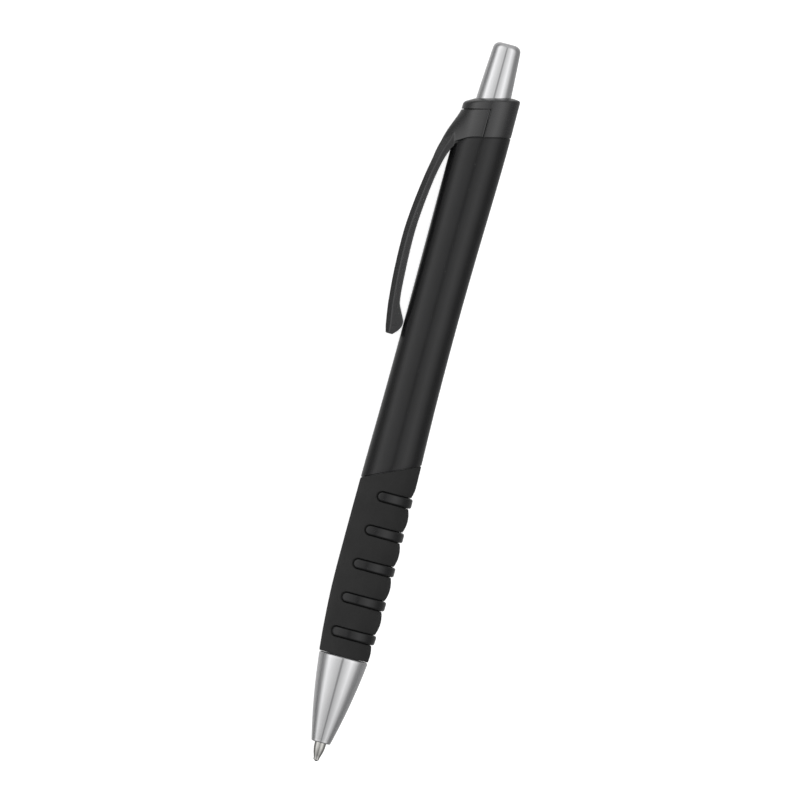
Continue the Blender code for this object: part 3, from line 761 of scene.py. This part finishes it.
def collar_rings():
    """The collar as a full ring, from its lower edge over the domed top and down the button's hole."""
    def lower_edge(x):
        return collar_seam(x) + SEAM

    def upper_edge(x):
        return collar_top(x, 0) - COLLAR_EDGE_ROUNDING

    def on_top(ring, inset, drop):
        shrunk = []
        for x, y, _ in ring:
            scale = 1 - inset / hypot(x, y)
            shrunk.append(Vector((x * scale, y * scale, collar_top(x * scale, y * scale) - drop)))
        return shrunk

    steps = 12
    rim = body_ring(upper_edge)
    hole = circle(BUTTON_HOLE_RADIUS, 0)
    rings = [body_ring(lower_edge, inset, lift) for lift, inset in edge_steps(EDGE)]
    rings += [body_ring(between(lower_edge, upper_edge, i / steps)) for i in range(1, steps)]
    for drop, inset in reversed(edge_steps(COLLAR_EDGE_ROUNDING, 6)):
        rings.append(on_top(rim, inset, drop))
    rings += [on_top(rim, COLLAR_EDGE_ROUNDING + step, 0) for step in (0.35, 0.7)]
    for lift, inset in reversed(edge_steps(BUTTON_HOLE_ROUNDING)):
        rings.append(on_top(hole, -lift, inset))
    rings += [
        circle(BUTTON_HOLE_RADIUS, COLLAR_RIM_UNDERSIDE),
        circle(SHELL_INNER_RADIUS, COLLAR_RIM_UNDERSIDE),
        sloped_circle(SHELL_INNER_RADIUS, lower_edge),
    ]
    return rings


def make_collar_shell():
    """The collar closes the barrel and guides the button. Its clip side is cut away below the seam."""
    def past_seam(x):
        return collar_seam(x) - PAST_SEAM

    def lip_edge(x):
        return clip_seam(x) - LIP

    def past_surface(angle, height):
        return body_point(angle, height, -PAST_SURFACE)

    mesh = bmesh.new()
    add_skin(mesh, collar_rings(), hollow=True)
    collar = finish_mesh(mesh, "collar_shell")
    room_inside_lip = (SHELL_INNER_RADIUS - CUTTER_MARGIN, lip_edge, LIP / NECK_RADIUS)
    room_outside_lip = (COLLAR_LIP_RADIUS, clip_seam, 0)
    for inner, upper_edge, margin in (room_inside_lip, room_outside_lip):
        cutter = bmesh.new()
        add_half_shell(cutter, inner, past_seam, upper_edge, margin, past_surface, beyond=PAST_SURFACE)
        room = finish_mesh(cutter, "clip_room")
        cut = collar.modifiers.new("clip_room", "BOOLEAN")
        cut.operation = "DIFFERENCE"
        cut.object = room
        cut.solver = "EXACT"
        bake(collar)
        bpy.data.objects.remove(room)
    collar.data.set_sharp_from_angle(angle=SHARP_ANGLE)
    return collar


def clip_reach(angle, height):
    """The clip's half shell, which swells into the root of the arm."""
    point = body_point(angle, height)
    spread = (CLIP_ROOT_HALF_WIDTH - abs(point.y)) / (CLIP_ROOT_HALF_WIDTH - CLIP_ROOT_FLAT)
    rise = smooth(CLIP_ROOT_STATIONS, max(height, CLIP_ROOT_STATIONS[0][0]))[0]
    if height > CLIP_ROOT_STATIONS[-1][0]:
        rise = 0
    point.x -= rise * ramp(0, 1, spread)
    return point


def barrel_reach(height, y):
    """Whether the clip's underside is over the barrel's top edge, and how far out it must stay."""
    clip_side, far_side = smooth(BODY_STATIONS, height)
    radius = (clip_side + far_side) / 2
    centre = (far_side - clip_side) / 2
    surface = centre - sqrt(radius ** 2 - y ** 2)
    low, high = collar_seam(surface) + LIP, collar_seam(-NECK_RADIUS) + GAP
    share = min((height - low) / (high - low), 1) if high > low else 1
    if share <= 0:
        return False, sqrt((radius + CLIP_CLEARANCE) ** 2 - y ** 2) - centre
    radius += (SHELL_INNER_RADIUS - radius) * share
    return True, sqrt(radius ** 2 - y ** 2) - centre * (1 - share)


def clip_outline(height, inner, outer, half_width, depth, width):
    """A level section of the clip, with chamfered corners on the outer side."""
    flat = half_width - width
    waist = outer - min(depth, (outer - inner) / 2)
    corners = [(-waist, -half_width), (-outer, -flat), (-outer, flat), (-waist, half_width)]
    half_steps = 6
    for i in range(2 * half_steps + 1):
        y = half_width * (1 - i / half_steps)
        over_edge, reach = barrel_reach(height, y)
        corners.append((-reach if over_edge else -max(inner, reach), y))
    return [Vector((x, y, height)) for x, y in corners]


def make_clip():
    """The clip in one piece: remeshing joins the arm to its half shell, and smoothing rounds the join."""
    def lower_edge(x):
        return collar_seam(x) + SEAM

    def upper_edge(x):
        return clip_seam(x) - SEAM

    mesh = bmesh.new()
    margin = SEAM / NECK_RADIUS
    add_half_shell(mesh, SHELL_INNER_RADIUS, lower_edge, upper_edge, margin, clip_reach, CLIP_ROWS)
    first, last = CLIP_STATIONS[0][0], CLIP_STATIONS[-1][0]
    steps = 90
    heights = [first + (last - first) * i / steps for i in range(steps + 1)]
    add_skin(mesh, [clip_outline(z, *smooth(CLIP_STATIONS, z)) for z in heights], hollow=False)
    bmesh.ops.recalc_face_normals(mesh, faces=mesh.faces)
    data = bpy.data.meshes.new("clip")
    mesh.to_mesh(data)
    mesh.free()
    clip = bpy.data.objects.new("clip", data)
    bpy.context.scene.collection.objects.link(clip)
    union = clip.modifiers.new("union", "REMESH")
    union.mode = "VOXEL"
    union.voxel_size = CLIP_VOXEL
    soften = clip.modifiers.new("soften", "SMOOTH")
    soften.factor = 0.5
    soften.iterations = CLIP_SMOOTHING
    bake(clip)
    clip.data.transform(PEN)
    clip.data.shade_smooth()
    return clip


def make_button_shell():
    """The push button: a flange that holds it in, a straight shaft, a taper and a rounded end."""
    taper_steps, end_steps = 24, 14
    taper = BUTTON_TAPER_END - BUTTON_TAPER_START
    corner = BUTTON_TOP - BUTTON_TAPER_END
    profile = [
        (BUTTON_BORE_RADIUS, BUTTON_BORE_TOP),
        (BUTTON_BORE_RADIUS, BUTTON_FLANGE_BOTTOM),
        (BUTTON_FLANGE_RADIUS, BUTTON_FLANGE_BOTTOM),
        (BUTTON_FLANGE_RADIUS, BUTTON_FLANGE_TOP),
        (BUTTON_RADIUS, BUTTON_FLANGE_TOP),
        (BUTTON_RADIUS, BUTTON_SHAFT_TOP),
    ]
    for i in range(taper_steps + 1):
        share = i / taper_steps
        radius = BUTTON_RADIUS + (BUTTON_END_RADIUS - BUTTON_RADIUS) * share ** BUTTON_TAPER_CURVE
        profile.append((radius, BUTTON_TAPER_START + taper * share))
    for i in range(1, end_steps + 1):
        angle = pi / 2 * i / end_steps
        radius = BUTTON_FLAT_RADIUS + (BUTTON_END_RADIUS - BUTTON_FLAT_RADIUS) * cos(angle)
        profile.append((radius, BUTTON_TAPER_END + corner * sin(angle)))
    return turned("button_shell", profile, hollow=False)


def make_tip_metal():
    """The refill's metal tip: a cone with a seat round the ball and an ink channel behind it."""
    seat = BALL_RADIUS + BALL_CLEARANCE
    profile = [
        *TIP_CONE,
        (TIP_RADIUS, TIP_REAR),
        (TIP_TAIL_RADIUS, TIP_REAR),
        (TIP_TAIL_RADIUS, TIP_TAIL_REAR),
        (INK_CHANNEL_RADIUS, TIP_TAIL_REAR),
    ]
    for degrees in (63, *range(50, -30, -10)):
        angle = radians(degrees)
        profile.append((seat * cos(angle), BALL_RADIUS + seat * sin(angle)))
    return turned("tip_metal", profile, segments=72)


def make_ball():
    """The writing ball, with its front at the pen's tip."""
    mesh = bmesh.new()
    bmesh.ops.create_uvsphere(mesh, u_segments=40, v_segments=24, radius=BALL_RADIUS)
    mesh.transform(Matrix.Translation((0, 0, BALL_RADIUS)))
    return finish_mesh(mesh, "ball")


def spring_points():
    """Points along the wire: closed turns at each end and open turns between them."""
    start = SPRING_SEAT + GAP + WIRE_RADIUS
    end = HOLDER_SHOULDER - GAP - WIRE_RADIUS
    closed_rise = CLOSED_TURNS * CLOSED_PITCH
    open_pitch = (end - start - 2 * closed_rise) / SPRING_TURNS
    turns = SPRING_TURNS + 2 * CLOSED_TURNS
    points = []
    for i in range(int(turns * POINTS_PER_TURN) + 1):
        turn = i / POINTS_PER_TURN
        rise = min(turn, CLOSED_TURNS) * CLOSED_PITCH
        rise += min(max(turn - CLOSED_TURNS, 0), SPRING_TURNS) * open_pitch
        rise += max(turn - CLOSED_TURNS - SPRING_TURNS, 0) * CLOSED_PITCH
        angle = 2 * pi * turn
        points.append(Vector((COIL_RADIUS * cos(angle), COIL_RADIUS * sin(angle), start + rise)))
    return points


def make_spring_wire():
    """The coil as a swept tube. Each section stands square to the wire."""
    points = spring_points()
    rings = []
    for i, point in enumerate(points):
        forward = (points[min(i + 1, len(points) - 1)] - points[max(i - 1, 0)]).normalized()
        out = Vector((point.x, point.y, 0)).normalized()
        up = forward.cross(out).normalized()
        out = up.cross(forward)
        section = [out * cos(a) + up * sin(a) for a in angles(WIRE_FACETS)]
        rings.append([point + direction * WIRE_RADIUS for direction in section])
    mesh = bmesh.new()
    add_skin(mesh, rings, hollow=False)
    return finish_mesh(mesh, "spring_wire")


# Finishes


def new_material(name, metallic, specular=0.5):
    """A material with its nodes and its shader."""
    made = bpy.data.materials.new(name)
    made.use_nodes = True
    shader = made.node_tree.nodes["Principled BSDF"]
    shader.inputs["Metallic"].default_value = metallic
    shader.inputs["Specular IOR Level"].default_value = specular
    return made, made.node_tree, shader


def noise(tree, scale, detail=3.0, stretch=(1, 1, 1)):
    """Noise through the material, with about that many features to the millimetre."""
    place = tree.nodes.new("ShaderNodeTexCoord")
    mapping = tree.nodes.new("ShaderNodeMapping")
    mapping.inputs["Scale"].default_value = [scale / MM * s for s in stretch]
    tree.links.new(place.outputs["Object"], mapping.inputs["Vector"])
    texture = tree.nodes.new("ShaderNodeTexNoise")
    texture.inputs["Scale"].default_value = 1
    texture.inputs["Detail"].default_value = detail
    tree.links.new(mapping.outputs["Vector"], texture.inputs["Vector"])
    return texture.outputs["Fac"]


def map_range(tree, source, given, wanted):
    """Maps a socket's value from one range to another, and stops it at both ends."""
    node = tree.nodes.new("ShaderNodeMapRange")
    for name, value in zip(("From Min", "From Max", "To Min", "To Max"), (*given, *wanted)):
        node.inputs[name].default_value = value
    tree.links.new(source, node.inputs["Value"])
    return node.outputs["Result"]


def vary(tree, source, low, high, target):
    """Drives a socket from noise, between two values."""
    tree.links.new(map_range(tree, source, NOISE_RANGE, (low, high)), target)


def tint(tree, source, dark, light, target):
    """Drives a colour socket from noise, between two colours."""
    mix = tree.nodes.new("ShaderNodeMix")
    mix.data_type = "RGBA"
    mix.inputs["A"].default_value = (*dark, 1)
    mix.inputs["B"].default_value = (*light, 1)
    vary(tree, source, 0, 1, mix.inputs["Factor"])
    tree.links.new(mix.outputs["Result"], target)


def roughen(tree, shader, source, depth):
    """Raises the surface by noise, to a depth in millimetres."""
    bump = tree.nodes.new("ShaderNodeBump")
    bump.inputs["Strength"].default_value = 1
    bump.inputs["Distance"].default_value = depth * MM
    tree.links.new(source, bump.inputs["Height"])
    tree.links.new(bump.outputs["Normal"], shader.inputs["Normal"])


def finish(name, colour, roughness, metallic=0.0, specular=0.5,
           spread=0.12, grain=6.0, depth=0.002, shade=0.1):
    """A finish whose roughness, colour and fine relief all vary a little over the surface."""
    made, tree, shader = new_material(name, metallic, specular)
    broad = noise(tree, BROAD_GRAIN)
    fine = noise(tree, grain)
    dark = [c * (1 - shade) for c in colour]
    light = [min(c * (1 + shade), 1) for c in colour]
    tint(tree, broad, dark, light, shader.inputs["Base Color"])
    vary(tree, fine, roughness * (1 - spread), roughness * (1 + spread), shader.inputs["Roughness"])
    roughen(tree, shader, fine, depth)
    return made


def clear_finish(name, colour, roughness, through):
    """A milky plastic that lets some light through."""
    made = finish(name, colour, roughness)
    shader = made.node_tree.nodes["Principled BSDF"]
    shader.inputs["Transmission Weight"].default_value = through
    return made


def turned_metal(name, colour, roughness):
    """Metal with fine rings left by the lathe."""
    made, tree, shader = new_material(name, 1.0)
    rings = noise(tree, LATHE_GRAIN, 2.0, (1, 0.02, 0.02))
    tint(tree, rings, [c * 0.9 for c in colour], colour, shader.inputs["Base Color"])
    vary(tree, rings, roughness * 0.8, roughness * 1.3, shader.inputs["Roughness"])
    roughen(tree, shader, rings, 0.0015)
    return made


def paint(piece, look):
    """Gives an object one finish."""
    piece.data.materials.clear()
    piece.data.materials.append(look)


def show(piece, body, look, slot, *nodes):
    """A visible piece that rides on one body and stands for CAD nodes."""
    paint(piece, look)
    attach(piece, body)
    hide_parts(*nodes)


def dress_node(name, look):
    """Gives a CAD node that stays visible its finish."""
    node = frame["nodes"][name]
    paint(node, look)


def make_pen():
    """The pen's pieces, each with its finish. Most ride on a body and stand for CAD nodes; the clip and
    the spring stand for theirs but ride on no body.
    """
    barrel_look = finish("barrel_gloss", (0.008, 0.008, 0.0084), 0.24, grain=1.2, depth=0.0006)
    rubber_look = finish("rubber_matte", (0.018, 0.018, 0.018), 0.8, specular=0.35, grain=9.0, depth=0.012)
    satin_look = finish("satin_grey", (0.014, 0.014, 0.0146), 0.26, specular=1.0, grain=11.0, depth=0.003)
    chrome_look = finish("chrome_plate", (0.8, 0.8, 0.81), 0.08, metallic=0.9,
                         spread=0.3, grain=0.8, depth=0.0003, shade=0.02)
    cam_look = finish("acetal", (0.55, 0.55, 0.52), 0.5)
    rotor_look = finish("acetal_cream", (0.75, 0.72, 0.62), 0.45)
    holder_look = finish("holder_white", (0.8, 0.8, 0.78), 0.4)
    tube_look = clear_finish("tube_milky", (0.75, 0.77, 0.8), 0.25, 0.4)
    ink_look = finish("ink_paste", (0.01, 0.01, 0.02), 0.15)
    spring_look = finish("spring_wire_steel", (0.55, 0.55, 0.56), 0.28, metallic=1.0, grain=4.0)
    tip_look = turned_metal("nickel_silver_turned", (0.72, 0.71, 0.68), 0.2)
    ball_look = finish("carbide_polished", (0.5, 0.5, 0.52), 0.16, metallic=1.0, grain=8.0)

    show(make_barrel_shell(), "barrel", barrel_look, "barrel_plastic", "barrel")
    show(make_grip_rubber(), "barrel", rubber_look, "grip_rubber", "grip_sleeve")
    show(make_nose_shell(), "barrel", chrome_look, "chrome", "nose_cone")
    show(make_collar_shell(), "barrel", satin_look, "collar_plastic", "end_collar")
    show(make_button_shell(), "button", chrome_look, "chrome", "push_button")
    show(make_tip_metal(), "refill", tip_look, "nickel_silver", "refill_tip")
    show(make_ball(), "ball", ball_look, "carbide", "writing_ball")

    clip = make_clip()
    paint(clip, satin_look)
    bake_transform(clip)
    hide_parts("clip_base", "clip_arm")

    spring = make_spring_wire()
    paint(spring, spring_look)
    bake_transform(spring)
    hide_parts("return_spring")

    dress_node("cam_sleeve", cam_look)
    dress_node("plunger", cam_look)
    dress_node("cam_rotor", rotor_look)
    dress_node("refill_tip_holder", holder_look)
    dress_node("refill_tube", tube_look)
    dress_node("refill_ink", ink_look)


# Studio


def make_floor():
    """A white floor just under the pen. The glow keeps the pen's soft shadow faint."""
    mesh = bmesh.new()
    bmesh.ops.create_grid(mesh, x_segments=1, y_segments=1, size=FLOOR_SIZE)
    data = bpy.data.meshes.new("floor")
    mesh.to_mesh(data)
    mesh.free()
    floor = bpy.data.objects.new("floor", data)
    floor.location.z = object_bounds()[0].z - FLOOR_GAP
    floor.visible_glossy = False
    bpy.context.scene.collection.objects.link(floor)
    paper = finish("floor_paper", (0.88, 0.88, 0.88), 0.9, grain=0.5, depth=0.0, shade=0.01)
    shader = paper.node_tree.nodes["Principled BSDF"]
    shader.inputs["Emission Color"].default_value = (1, 1, 1, 1)
    shader.inputs["Emission Strength"].default_value = FLOOR_GLOW
    paint(floor, paper)


def view_axes():
    """The camera's right, up and backward directions, from the pen's own axes."""
    turn = PEN.to_3x3().normalized()
    across, side, along = turn.col
    right = across * cos(VIEW_LEAN) + along * sin(VIEW_LEAN)
    up = along * cos(VIEW_LEAN) - across * sin(VIEW_LEAN)
    return right.normalized(), up.normalized(), -side.normalized()


def make_camera():
    """A long lens square to the pen's side."""
    right, up, back = view_axes()
    data = bpy.data.cameras.new("camera")
    data.lens = LENS
    data.sensor_width = SENSOR
    camera = bpy.data.objects.new("camera", data)
    centre = PEN @ Vector(VIEW_CENTRE) - right * VIEW_OFFSET * MM
    distance = VIEW_HEIGHT * MM / 2 / (SENSOR / 2 / LENS)
    place = Matrix((right, up, back)).transposed().to_4x4()
    camera.matrix_world = Matrix.Translation(centre + back * distance) @ place
    bpy.context.scene.collection.objects.link(camera)
    bpy.context.scene.camera = camera


def make_fill_light():
    """A soft light beside the camera. It evens out the floor and isn't seen in the gloss."""
    camera = bpy.context.scene.camera
    data = bpy.data.lights.new("fill", "AREA")
    data.shape = "DISK"
    data.size = FILL_SIZE
    data.energy = FILL_POWER
    light = bpy.data.objects.new("fill", data)
    light.matrix_world = camera.matrix_world
    light.visible_glossy = False
    bpy.context.scene.collection.objects.link(light)


def along_direction(tree, source, direction):
    """How far a direction socket points along a fixed direction."""
    node = tree.nodes.new("ShaderNodeVectorMath")
    node.operation = "DOT_PRODUCT"
    node.inputs[1].default_value = direction
    tree.links.new(source, node.inputs[0])
    return node.outputs["Value"]


def calculate(tree, operation, *sources):
    """A maths node on one or two sockets."""
    node = tree.nodes.new("ShaderNodeMath")
    node.operation = operation
    for source, socket in zip(sources, node.inputs):
        tree.links.new(source, socket)
    return node.outputs["Value"]


def mix_with_grey(tree, share, source, level):
    """Mixes a share of an even grey into a colour socket."""
    node = tree.nodes.new("ShaderNodeMix")
    node.data_type = "RGBA"
    node.inputs["B"].default_value = (level, level, level, 1)
    tree.links.new(share, node.inputs["Factor"])
    tree.links.new(source, node.inputs["A"])
    return node.outputs["Result"]


def studio_band(tree, around):
    """The band's brightness at an angle socket in radians."""
    node = tree.nodes.new("ShaderNodeValToRGB")
    stops = node.color_ramp.elements
    for i, (degrees, level) in enumerate(STUDIO_BAND):
        position = (degrees + 180) / 360
        stop = stops[i] if i < len(stops) else stops.new(position)
        stop.position = position
        stop.color = (level, level, level, 1)
    tree.links.new(map_range(tree, around, (-pi, pi), (0, 1)), node.inputs["Fac"])
    return node.outputs["Color"]


def make_world():
    """Soft boxes on both sides of the pen, as a band of brightness round its long axis.

    The band is even over both ends of the axis and fades toward the tip. The camera sees white.
    """
    turn = PEN.to_3x3().normalized()
    across, side, along = turn.col
    world = bpy.data.worlds.new("world")
    world.use_nodes = True
    tree = world.node_tree
    direction = tree.nodes.new("ShaderNodeTexCoord").outputs["Generated"]
    sideways = along_direction(tree, direction, across)
    forward = along_direction(tree, direction, -side)
    lengthwise = along_direction(tree, direction, along)
    band = studio_band(tree, calculate(tree, "ARCTAN2", sideways, forward))
    poles = map_range(tree, calculate(tree, "ABSOLUTE", lengthwise), POLE_RANGE, (0, 1))
    capped = mix_with_grey(tree, poles, band, POLE_LEVEL)
    seen = tree.nodes.new("ShaderNodeLightPath").outputs["Is Camera Ray"]
    fade = map_range(tree, lengthwise, TIP_END_RANGE, (TIP_END_LEVEL, 1))
    background = tree.nodes["Background"]
    tree.links.new(mix_with_grey(tree, seen, capped, 1), background.inputs["Color"])
    tree.links.new(calculate(tree, "MAXIMUM", fade, seen), background.inputs["Strength"])
    bpy.context.scene.world = world


make_pen()
make_floor()
make_camera()
make_fill_light()
make_world()
bpy.context.scene.view_settings.view_transform = "Standard"
